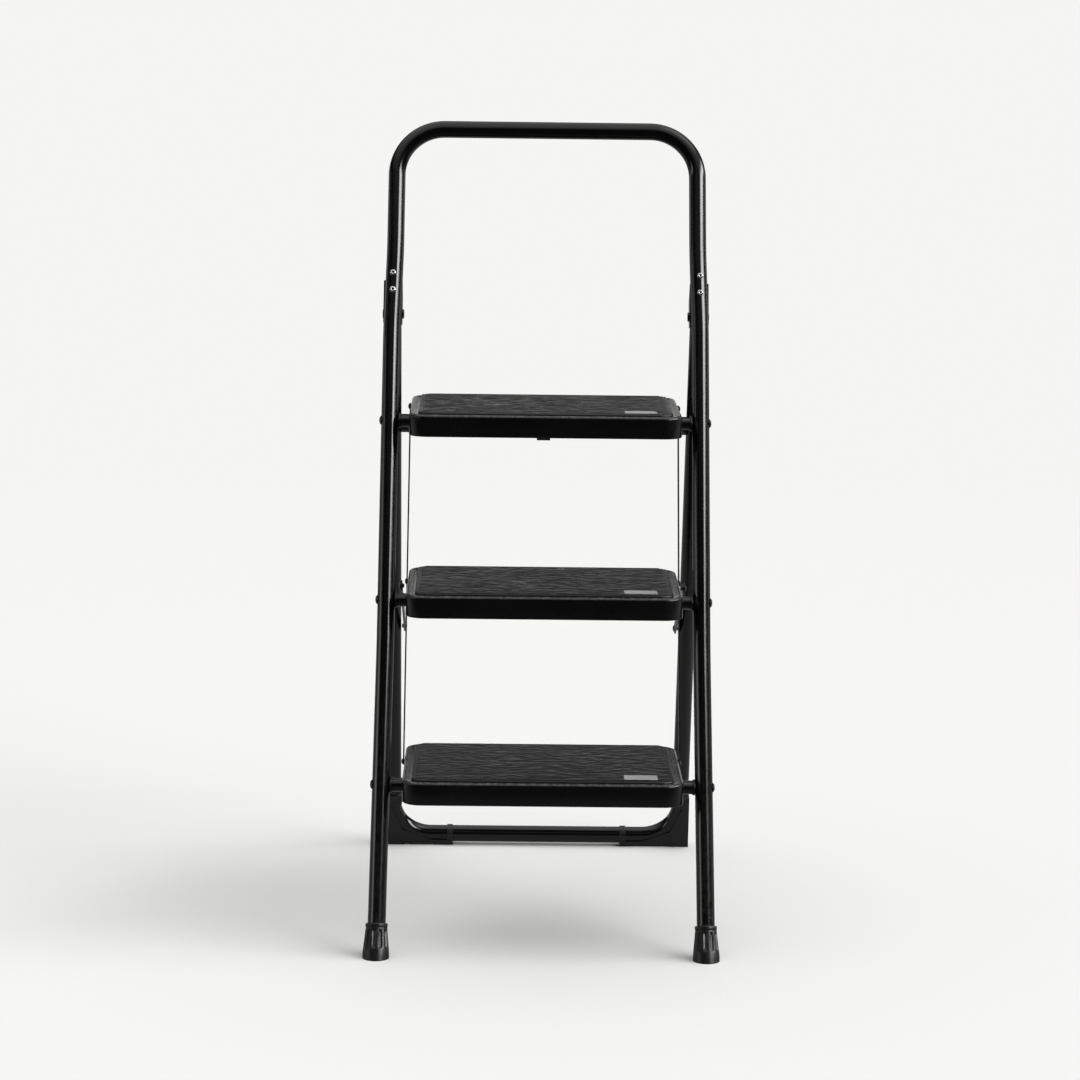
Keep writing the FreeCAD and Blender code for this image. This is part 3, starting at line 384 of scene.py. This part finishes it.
def front_tube():
    bm = bmesh.new()
    start = 0.006
    right = [(front_width(start), start), (WAIST_WIDTH, LOWER_KINK), (WAIST_WIDTH, WAIST_KINK),
             (GRIP_WIDTH, GRIP_KINK), (GRIP_WIDTH, GRIP_TOP)]
    corners = [front_point(x, up) for x, up in right] + [front_point(-x, up) for x, up in reversed(right)]
    bends = [0, KINK_BEND, KINK_BEND, KINK_BEND, GRIP_BEND, GRIP_BEND, KINK_BEND, KINK_BEND, KINK_BEND, 0]
    tube(bm, rounded_path(corners, bends, 24), OUT_FRONT, TUBE, TUBE_WALL)
    piece("front_tube_look", bm, "front_frame", ["front_tube"], FRAME_PAINT)


def crossbar(node, body, centre):
    """Plain tube across the ladder, its ends closed and slightly rounded."""
    low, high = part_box(node)
    end = CROSSBAR - 0.0015
    bm = bmesh.new()
    profile = rounded_profile([
        (0, low.x), (end, low.x), (CROSSBAR, low.x), (CROSSBAR, high.x), (end, high.x), (0, high.x),
    ], 0.0004)
    lathe(bm, profile, axis_at(Vector((0, centre.y, centre.z)), ACROSS), 48)
    piece(f"{node}_look", bm, body, [node], FRAME_PAINT)


def crossbar_bushes():
    """Plain ring between each end of a crossbar and the leg."""
    bore, radius, thickness, gap = 0.0048, 0.011, 0.0030, 0.0002
    profile = rounded_profile([(bore, 0.0), (radius, 0.0), (radius, thickness), (bore, thickness)], 0.0006)
    bm = bmesh.new()
    for hinge in HINGES.values():
        inner_face = front_width(hinge.z / UP_FRONT.z) - TUBE - thickness - gap
        for _, side in SIDES:
            lathe(bm, profile, axis_at(hinge + ACROSS * side * inner_face, ACROSS * side), 40)
    piece("crossbar_bushes_look", bm, "front_frame", ["crossbar_bushes"], BUSH)


def dome_profile(radius, height, rim, depth, shank):
    """Domed head above zero with a rounded rim, and a shank that goes down into the part."""
    pairs = [(0.0, -depth), (shank, -depth), (shank, 0.0), (radius, 0.0), (radius, rim)]
    steps = 8
    for step in range(1, steps + 1):
        turn = math.pi / 2 * step / steps
        pairs.append((radius * math.cos(turn), rim + (height - rim) * math.sin(turn)))
    return pairs


def tie_rods(node, body, places):
    """Rods across the ladder with a domed end outside each leg; places are (centre, reach) pairs."""
    bm = bmesh.new()
    for centre, reach in places:
        half = [(0.0, -reach - 0.003), (0.0035, -reach - 0.0026), (0.0056, -reach - 0.0014),
                (0.0065, -reach - 0.0003), (0.0063, -reach + 0.0002), (0.004, -reach + 0.0003)]
        profile = half + [(radius, -height) for radius, height in reversed(half)]
        lathe(bm, profile, axis_at(Vector((0, centre.y, centre.z)), ACROSS), 36)
    piece(f"{node}_look", bm, body, [node], HARDWARE, 40)


def bracket_rivets():
    """Blind rivets with a flat ring and a hollow middle, and the stub of each mandrel inside, coloured near
    black as painted shade in the hollow.
    """
    shank, bore, stub = 0.0025, 0.00125, 0.00115
    head = [
        (0.0, -0.006), (shank, -0.006), (shank, 0.0), (0.0045, 0.0), (0.00455, 0.0004),
        (0.0043, 0.0010), (0.0036, 0.0016), (0.0027, 0.0020), (0.0018, 0.0019), (0.0014, 0.0016),
        (bore, 0.0008), (bore, -0.0008), (0.0, -0.0008),
    ]
    tail = [(0.0, -0.003), (shank, -0.003), (shank, 0.0), (0.0038, 0.0), (0.0040, 0.0008),
            (0.0034, 0.0014), (0.0016, 0.0015), (0.0, 0.0012)]
    mandrel = [(0.0, -0.002), (stub, -0.002), (stub, -0.0002), (0.0007, 0.0001), (0.0, 0.0001)]
    heads, shaded_stubs = bmesh.new(), bmesh.new()
    for _, side in SIDES:
        for up in BRACKET_RIVETS:
            place = axis_at(front_point(side * REAR_WIDTH, up, TUBE), OUT_FRONT)
            lathe(heads, head, place, 32)
            lathe(shaded_stubs, mandrel, place, 20)
            back = axis_at(front_point(side * REAR_WIDTH, up, -TUBE - BRACKET_BACK), -OUT_FRONT)
            lathe(heads, tail, back, 28)
    piece("bracket_rivets_look", heads, "front_frame", ["bracket_rivets"], RIVET)
    # The stubs are near black: painted shade in the rivets' hollow middles.
    piece("bracket_rivet_stubs_painted_shade", shaded_stubs, "front_frame", [], PAINTED_SHADE_BORE)


def pivot_hardware():
    """Bolts of the main pivot with low domed heads outside, and thin chamfered nuts inside."""
    head_radius, head_height, rim, depth = 0.007, 0.0016, 0.0004, 0.012
    shank, nut_height, half_flats, nut_corner = 0.004, 0.0024, 0.006, 0.0070
    head_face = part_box("pivot_bolts")[1].x - head_height
    nut_face = 2 * REAR_WIDTH - head_face

    def hexagon(angle, radius, height):
        if radius < half_flats - 0.001:
            return radius
        sector = (angle + math.pi / 6) % (math.pi / 3) - math.pi / 6
        return min(radius, half_flats / math.cos(sector))

    dome = dome_profile(head_radius, head_height, rim, depth, shank)
    head = [(radius, height) for radius, height in dome if radius > 0.003 or height < 0]
    head += [(0.0025, 0.00145), (0.0023, 0.0007), (0.0, 0.0007)]
    nut = [
        (0.0041, 0.0), (0.0062, 0.0), (0.0068, 0.0004), (nut_corner, 0.0007),
        (nut_corner, nut_height - 0.0007), (0.0068, nut_height - 0.0004), (0.0062, nut_height),
        (0.0044, nut_height), (0.0041, nut_height - 0.0003),
    ]
    end = [(0.0, -0.002), (shank, -0.002), (shank, nut_height - 0.0002), (0.0035, nut_height + 0.0002),
           (0.0, nut_height + 0.0002)]
    bolts, nuts = bmesh.new(), bmesh.new()
    for _, side in SIDES:
        lathe(bolts, head, axis_at(PIVOT + ACROSS * side * head_face, ACROSS * side), 36)
        place = axis_at(PIVOT + ACROSS * side * nut_face, -ACROSS * side)
        lathe(nuts, nut, place, 72, hexagon)
        lathe(bolts, end, place, 28)
    piece("pivot_bolts_look", bolts, "front_frame", ["pivot_bolts"], HARDWARE, 40)
    piece("pivot_nuts_look", nuts, "front_frame", ["pivot_nuts"], HARDWARE, 25)


def ferrules():
    """Fluted rubber ends of the front legs, cut level with the floor."""
    flutes, flute_depth = 11, 0.0018
    flute_low, flute_high = 0.0125, 0.0375
    wall_low, wall_high = (0.0181, 0.0110), (0.0150, 0.0400)
    mouth, socket_floor, wall_steps = 0.01255, 0.030, 28
    splay = math.atan2(FLOOR_WIDTH - WAIST_WIDTH, LOWER_KINK)

    def fluted(angle, radius, height):
        along = (height - flute_low) / (flute_high - flute_low)
        if radius < 0.0132 or along <= 0 or along >= 1:
            return radius
        wave = 0.5 - 0.5 * math.cos(angle * flutes)
        groove = max(0.0, (wave - 0.42) / 0.58) ** 0.6
        ends = min(1.0, along / 0.14) * min(1.0, (1 - along) / 0.10)
        return radius - flute_depth * groove * math.sqrt(max(ends, 0.0))

    outline = [(0.0, -0.012), (0.0170, -0.012), (0.0185, -0.006), (0.0186, 0.002), (0.0182, 0.0095)]
    for step in range(wall_steps + 1):
        share = step / wall_steps
        outline.append(tuple(low + (high - low) * share for low, high in zip(wall_low, wall_high)))
    outline += [
        (0.0150, 0.0405), (0.0154, 0.0413), (0.0155, 0.0425), (0.0155, 0.0447), (0.0153, 0.0456),
        (0.0149, 0.0460), (0.0132, 0.0460), (0.01265, 0.0456), (mouth, 0.0445), (mouth, socket_floor),
        (0.0, socket_floor),
    ]
    for name, side in SIDES:
        along = (UP_FRONT * math.cos(splay) - ACROSS * side * math.sin(splay)).normalized()
        bm = bmesh.new()
        lathe(bm, outline, axis_at(front_point(side * FLOOR_WIDTH, 0.0), along), 132, fluted)
        cut = bmesh.ops.bisect_plane(
            bm, geom=bm.verts[:] + bm.edges[:] + bm.faces[:], dist=1e-7,
            plane_co=(0, 0, 0), plane_no=(0, 0, 1), clear_inner=True,
        )
        rim = [item for item in cut["geom_cut"] if isinstance(item, bmesh.types.BMEdge)]
        bmesh.ops.contextual_create(bm, geom=rim)
        node = f"front_foot_{name}"
        piece(f"{node}_look", bm, "front_frame", [node], RUBBER, 38)


# ---- rear frame ----

def rear_tube():
    bm = bmesh.new()
    length = (PIVOT.z - REAR_BAR_HEIGHT) / math.cos(REAR_LEAN)
    corners = [rear_point(REAR_WIDTH, REAR_TOP), rear_point(REAR_WIDTH, -length),
               rear_point(-REAR_WIDTH, -length), rear_point(-REAR_WIDTH, REAR_TOP)]
    tube(bm, rounded_path(corners, [0, REAR_BEND, REAR_BEND, 0], 24), OUT_REAR, TUBE, TUBE_WALL)
    piece("rear_tube_look", bm, "rear_frame", ["rear_tube"], FRAME_PAINT)


# ---- treads ----

def rounded_rectangle(half_width, front, rear, corner, height, steps=12):
    """Outline points, counter-clockwise from the front left, at that height."""
    corners = [Vector((-half_width, front, height)), Vector((half_width, front, height)),
               Vector((half_width, rear, height)), Vector((-half_width, rear, height))]
    return rounded_path(corners, corner, steps, closed=True)


def tread_pan(tread):
    """Pressed pan: flat top with a rolled edge, deep skirt and a hem along its lower rim."""
    low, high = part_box(f"tread_pan_{tread}")
    half, bottom, top = high.x, low.z, high.z
    roll, roll_steps, well_drop = 0.004, 6, 0.0009
    levels = [
        (0.0042, top - PAN_SHEET - well_drop), (PAN_SHEET, top - 0.0050), (PAN_SHEET, bottom + 0.0075),
        (0.0026, bottom + 0.0070), (0.0028, bottom + 0.0012), (0.0022, bottom + 0.0003), (0.0013, bottom),
        (0.0005, bottom + 0.0004), (0.0, bottom + 0.0013), (0.0, top - roll),
    ]
    for step in range(1, roll_steps + 1):
        turn = math.pi / 2 * step / roll_steps
        levels.append((roll * (1 - math.cos(turn)), top - roll * (1 - math.sin(turn))))
    levels += [(0.0062, top), (0.0078, top - 0.0006), (0.0095, top - well_drop)]
    bm = bmesh.new()
    rings = []
    for inset, height in levels:
        outline = rounded_rectangle(half - inset, low.y + inset, high.y - inset, PAN_CORNER - inset, height)
        rings.append(ring_of(bm, outline))
    bridge(bm, rings)
    cap(bm, rings[0], flip=True)
    cap(bm, rings[-1])
    body = f"tread_{tread}"
    piece(f"tread_pan_{tread}_look", bm, body, [f"tread_pan_{tread}"], TREAD_PAINT, 50)


def relief(x, y, seed):
    """Height from 0 to 1 of the mat's wavy streaks."""
    bend = noise.noise(Vector((x * 22, y * 22, seed))) * 0.006
    streak = noise.noise(Vector((x * 38, (y + bend) * 170, seed + 5)))
    cross = noise.noise(Vector(((x + y * 0.9) * 60, (y - x * 0.35) * 120, seed + 9)))
    value = 0.62 * streak + 0.62 * cross
    return max(0.0, min(1.0, 0.5 + 1.7 * value))


def tread_mat(tread, seed):
    """Rubber mat with low wavy streaks all over, and a smooth rim with a bead round it."""
    low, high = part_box(f"tread_mat_{tread}")
    front, rear, half, top = low.y, high.y, high.x, high.z
    columns, rows = 210, 132
    edge, edge_drop, streak_height = 0.0008, 0.0014, 0.0006
    rim_width, rim_fade = 0.0045, 0.0035
    bead_place, bead_width = 0.0020, 0.0010
    crowding = 0.143

    def half_at(y):
        corner = MAT_CORNER - edge
        depth = min(y - (front + edge), (rear - edge) - y)
        if depth >= corner:
            return half - edge
        return half - edge - corner + math.sqrt(max(corner ** 2 - (corner - max(depth, 0.0)) ** 2, 0.0))

    def height_at(x, y):
        away = min(y - front, rear - y, half - abs(x))
        fade = max(0.0, min(1.0, (away - rim_width) / rim_fade))
        bead = streak_height * math.exp(-((away - bead_place) / bead_width) ** 2)
        return top - streak_height + streak_height * relief(x, y, seed) * fade + bead

    bm = bmesh.new()
    lines = []
    for row in range(rows + 1):
        share = row / rows
        crowded = share - crowding * math.sin(math.tau * share) / math.tau
        y = front + edge + (rear - front - 2 * edge) * crowded
        reach = half_at(y)
        places = [reach * (2 * column / columns - 1) for column in range(columns + 1)]
        lines.append([bm.verts.new((x, y, height_at(x, y))) for x in places])
    bridge(bm, lines, closed_around=False)
    right_side, left_side = [line[-1] for line in lines[1:-1]], [line[0] for line in lines[-2:0:-1]]
    rim = lines[0] + right_side + lines[-1][::-1] + left_side
    middle = (front + rear) / 2
    scale_x, scale_y = half / (half - edge), (rear - front) / (rear - front - 2 * edge)
    rings = [rim]
    for height in (top - edge_drop, low.z):
        rings.append(ring_of(bm, [
            (vertex.co.x * scale_x, middle + (vertex.co.y - middle) * scale_y, height) for vertex in rim
        ]))
    bridge(bm, rings)
    cap(bm, rings[-1])
    piece(f"tread_mat_{tread}_look", bm, f"tread_{tread}", [f"tread_mat_{tread}"], MAT, 60)


def tread_badge(tread):
    """Plain plate with a raised rim."""
    low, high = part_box(f"tread_badge_{tread}")
    bm = bmesh.new()
    rings = []
    middle = (low + high) / 2
    for inset, height in ((0.0, low.z), (0.0, high.z - 0.0002), (0.0002, high.z), (0.0012, high.z),
                          (0.0015, high.z - 0.00015)):
        outline = rounded_rectangle(
            (high.x - low.x) / 2 - inset, low.y + inset, high.y - inset, 0.0016 - inset * 0.6, height, 5,
        )
        rings.append(ring_of(bm, [point + Vector((middle.x, 0, 0)) for point in outline]))
    bridge(bm, rings)
    cap(bm, rings[0], flip=True)
    cap(bm, rings[-1])
    piece(f"tread_badge_{tread}_look", bm, f"tread_{tread}", [f"tread_badge_{tread}"], BADGE)


# ---- rivets of the bars ----

def side_rivets(node, body, points, face, radius, height, shank, inward=False):
    """Domed rivets on both sides, their heads at the given distance from the mid-plane."""
    depth = 0.0055
    profile = dome_profile(radius, height, height * 0.3, depth, shank)
    bm = bmesh.new()
    for point in points:
        for _, side in SIDES:
            direction = ACROSS * side * (-1 if inward else 1)
            lathe(bm, profile, axis_at(Vector((side * face, point.y, point.z)), direction), 28)
    piece(f"{node}_look", bm, body, [node], HARDWARE, 40)


def bar_rivets():
    link = JOINTS["link_bar_turn"]
    links = [link - (HINGES["top"] - HINGES[tread]) for tread in TREADS]
    link_head, strut_head = 0.0022, 0.0024
    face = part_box("link_rivets")[1].x - link_head
    side_rivets("link_rivets", "link_bars", links, face, 0.004, link_head, 0.0025)
    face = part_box("strut_upper_rivets")[1].x - strut_head
    side_rivets("strut_upper_rivets", "struts", [JOINTS["strut_turn"]], face, 0.005, strut_head, 0.003)
    low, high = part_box("strut_lower_rivets")
    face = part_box("strut_right")[0].x
    side_rivets("strut_lower_rivets", "struts", [(low + high) / 2], face, 0.005, strut_head, 0.003,
                inward=True)


# ---- stage ----

def camera():
    """Level camera in front, its picture shifted down to the ladder."""
    camera_height, shift = 1.336, -0.5046
    data = bpy.data.cameras.new("camera")
    data.sensor_width = 36.0
    data.lens = 116.0
    cam = bpy.data.objects.new("camera", data)
    bpy.context.scene.collection.objects.link(cam)
    yaw, roll = math.radians(0.69), math.radians(0.71)
    forward = Vector((math.sin(yaw), math.cos(yaw), 0))
    level = Vector((math.cos(yaw), -math.sin(yaw), 0))
    upright = Vector((0, 0, 1))
    right = level * math.cos(roll) + upright * math.sin(roll)
    above = upright * math.cos(roll) - level * math.sin(roll)
    place = Matrix((right, above, -forward)).transposed().to_4x4()
    place.translation = Vector((-0.0761, -5.150, camera_height))
    cam.matrix_world = place
    bpy.context.scene.camera = cam
    # The shift holds only at this height, so that a view from any other place is centred.
    curve = data.driver_add("shift_y")
    height = curve.driver.variables.new()
    height.name = "height"
    height.type = "TRANSFORMS"
    height.targets[0].id = cam
    height.targets[0].transform_type = "LOC_Z"
    height.targets[0].transform_space = "WORLD_SPACE"
    curve.driver.type = "SCRIPTED"
    curve.driver.expression = f"{shift} if abs(height - {camera_height}) < 0.0001 else 0.0"


def sun(name, azimuth, elevation, strength, angle):
    """Soft light from far away; azimuth 0 is the camera's side and 90 the right."""
    data = bpy.data.lights.new(name, "SUN")
    data.energy = strength
    data.angle = math.radians(angle)
    obj = bpy.data.objects.new(name, data)
    bpy.context.scene.collection.objects.link(obj)
    obj.rotation_mode = "QUATERNION"
    obj.rotation_quaternion = towards(azimuth, elevation).to_track_quat("Z", "Y")
    return obj


def towards(azimuth, elevation):
    """Direction to a place in the studio; azimuth 0 is the camera's side and 90 the right."""
    turn, rise = math.radians(azimuth), math.radians(elevation)
    return Vector((math.sin(turn) * math.cos(rise), -math.cos(turn) * math.cos(rise), math.sin(rise)))


PAPER = (0.913, 0.913, 0.896, 1.0)


def studio_world():
    """Pale to the camera; to everything else a dim room with bright panels above and at the sides."""
    world = bpy.data.worlds.new("studio")
    bpy.context.scene.world = world
    nodes = Nodes(world)
    direction = nodes.add("ShaderNodeTexCoord").outputs["Generated"]
    parts = nodes.add("ShaderNodeSeparateXYZ", {"Vector": direction})
    rise = parts.outputs["Z"]
    level = nodes.add("ShaderNodeCombineXYZ", {"X": parts.outputs["X"], "Y": parts.outputs["Y"]}).outputs[0]
    heading = nodes.add("ShaderNodeVectorMath", {0: level}, operation="NORMALIZE").outputs["Vector"]

    def panel(azimuth, half_angle, soft_angle, low, low_soft, high, high_soft, strength):
        """Soft-edged patch round that azimuth, between two heights given as sines of elevation."""
        facing = nodes.add("ShaderNodeVectorMath", {0: heading, 1: towards(azimuth, 0)},
                           operation="DOT_PRODUCT")
        inner, outer = (math.cos(math.radians(angle)) for angle in (half_angle, half_angle + soft_angle))
        across = nodes.span(facing.outputs["Value"], outer, inner, 0.0, strength)
        upward = nodes.span(rise, low, low + low_soft, 0.0, 1.0)
        downward = nodes.span(rise, high, high + high_soft, 1.0, 0.0)
        return nodes.maths("MULTIPLY", across, nodes.maths("MULTIPLY", upward, downward))

    lights = [
        panel(69, 25, 12, low=0.29, low_soft=0.05, high=0.42, high_soft=0.10, strength=16.0),
        panel(-72, 12, 10, low=0.08, low_soft=0.04, high=0.17, high_soft=0.08, strength=2.6),
        panel(180, 60, 40, low=0.0, low_soft=0.02, high=0.09, high_soft=0.07, strength=0.95),
        nodes.span(rise, 0.40, 0.85, 0.0, 1.0),
    ]
    total = 0.02
    for light in lights:
        total = nodes.maths("ADD", light, total)
    is_camera = nodes.add("ShaderNodeLightPath").outputs["Is Camera Ray"]
    lit = nodes.add("ShaderNodeBackground", {"Color": (1.0, 1.0, 1.0, 1.0), "Strength": total})
    seen = nodes.add("ShaderNodeBackground", {"Color": PAPER, "Strength": 1.0})
    both = nodes.add("ShaderNodeMixShader", {0: is_camera, 1: lit.outputs[0], 2: seen.outputs[0]})
    nodes.add("ShaderNodeOutputWorld", {"Surface": both.outputs[0]})


def floor():
    """Pale paper sweep, evenly bright far from the ladder and dim when seen in a reflection."""
    reach = 60.0
    bm = bmesh.new()
    cap(bm, ring_of(bm, [(-reach, -reach, 0), (reach, -reach, 0), (reach, reach, 0), (-reach, reach, 0)]))
    mesh = bpy.data.meshes.new("floor")
    bm.to_mesh(mesh)
    bm.free()
    obj = bpy.data.objects.new("floor", mesh)
    bpy.context.scene.collection.objects.link(obj)
    nodes = Nodes(bpy.data.materials.new("floor_look"))
    place = nodes.add("ShaderNodeNewGeometry").outputs["Position"]
    distance = nodes.add("ShaderNodeVectorMath", {0: place}, operation="LENGTH").outputs["Value"]
    far = nodes.span(distance, 1.6, 4.5, 0.0, 1.0)
    grain = nodes.noise(place, 220.0, 4.0, 0.6)
    shade = nodes.mix(nodes.span(grain, 0.3, 0.7, 0.0, 1.0),
                      (0.90, 0.90, 0.885, 1.0), (0.93, 0.93, 0.915, 1.0))
    matte = nodes.add("ShaderNodeBsdfPrincipled", {
        "Base Color": shade, "Roughness": 0.75, "Normal": nodes.bump(grain, 0.05, 0.0005),
    })
    is_camera = nodes.add("ShaderNodeLightPath").outputs["Is Camera Ray"]
    not_camera = nodes.maths("SUBTRACT", 1.0, is_camera)
    towards_back = nodes.add("ShaderNodeSeparateXYZ", {"Vector": place}).outputs["Y"]
    reflected = nodes.span(towards_back, -0.9, 0.1, 0.02, 0.22)
    strength = nodes.maths("ADD", is_camera, nodes.maths("MULTIPLY", not_camera, reflected))
    even = nodes.add("ShaderNodeEmission", {"Color": PAPER, "Strength": strength})
    dimmed = nodes.maths("MULTIPLY", not_camera, nodes.maths("SUBTRACT", 1.0, reflected))
    share = nodes.maths("MAXIMUM", far, dimmed)
    both = nodes.add("ShaderNodeMixShader", {0: share, 1: matte.outputs[0], 2: even.outputs[0]})
    nodes.add("ShaderNodeOutputMaterial", {"Surface": both.outputs[0]})
    mesh.materials.append(nodes.owner)


def build():
    front_tube()
    for tread, hinge in HINGES.items():
        crossbar(f"crossbar_{tread}", "front_frame", hinge)
    crossbar_bushes()
    rods = [(hinge, front_width(hinge.z / UP_FRONT.z) + TUBE) for hinge in HINGES.values()]
    tie_rods("tie_rods", "front_frame", rods)
    low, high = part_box("rear_tie_rod")
    tie_rods("rear_tie_rod", "rear_frame", [((low + high) / 2, REAR_WIDTH + TUBE)])
    bracket_rivets()
    pivot_hardware()
    ferrules()
    rear_tube()
    low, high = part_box("rear_crossbar")
    crossbar("rear_crossbar", "rear_frame", (low + high) / 2)
    bar_rivets()
    for number, tread in enumerate(TREADS):
        tread_pan(tread)
        tread_mat(tread, number * 31.0)
        tread_badge(tread)
    for name, _ in SIDES:
        softened(f"hinge_bracket_{name}", "front_frame", FRAME_PAINT, 0.0005)
        softened(f"rear_foot_{name}", "rear_frame", PLASTIC, 0.0009)
        softened(f"link_bar_{name}", "link_bars", BAR_PAINT, 0.0005)
        softened(f"strut_{name}", "struts", BAR_PAINT, 0.0006)
    softened("latch_bracket", "tread_top", TREAD_PAINT, 0.0004)
    softened("latch_pin", "tread_top", HARDWARE, 0.0006)
    softened("safety_latch", "latch", PLASTIC, 0.0006)


build()
studio_world()
floor()
sun("key", 78, 60, 0.3, 36)
camera()
bpy.context.scene.view_settings.view_transform = "Standard"
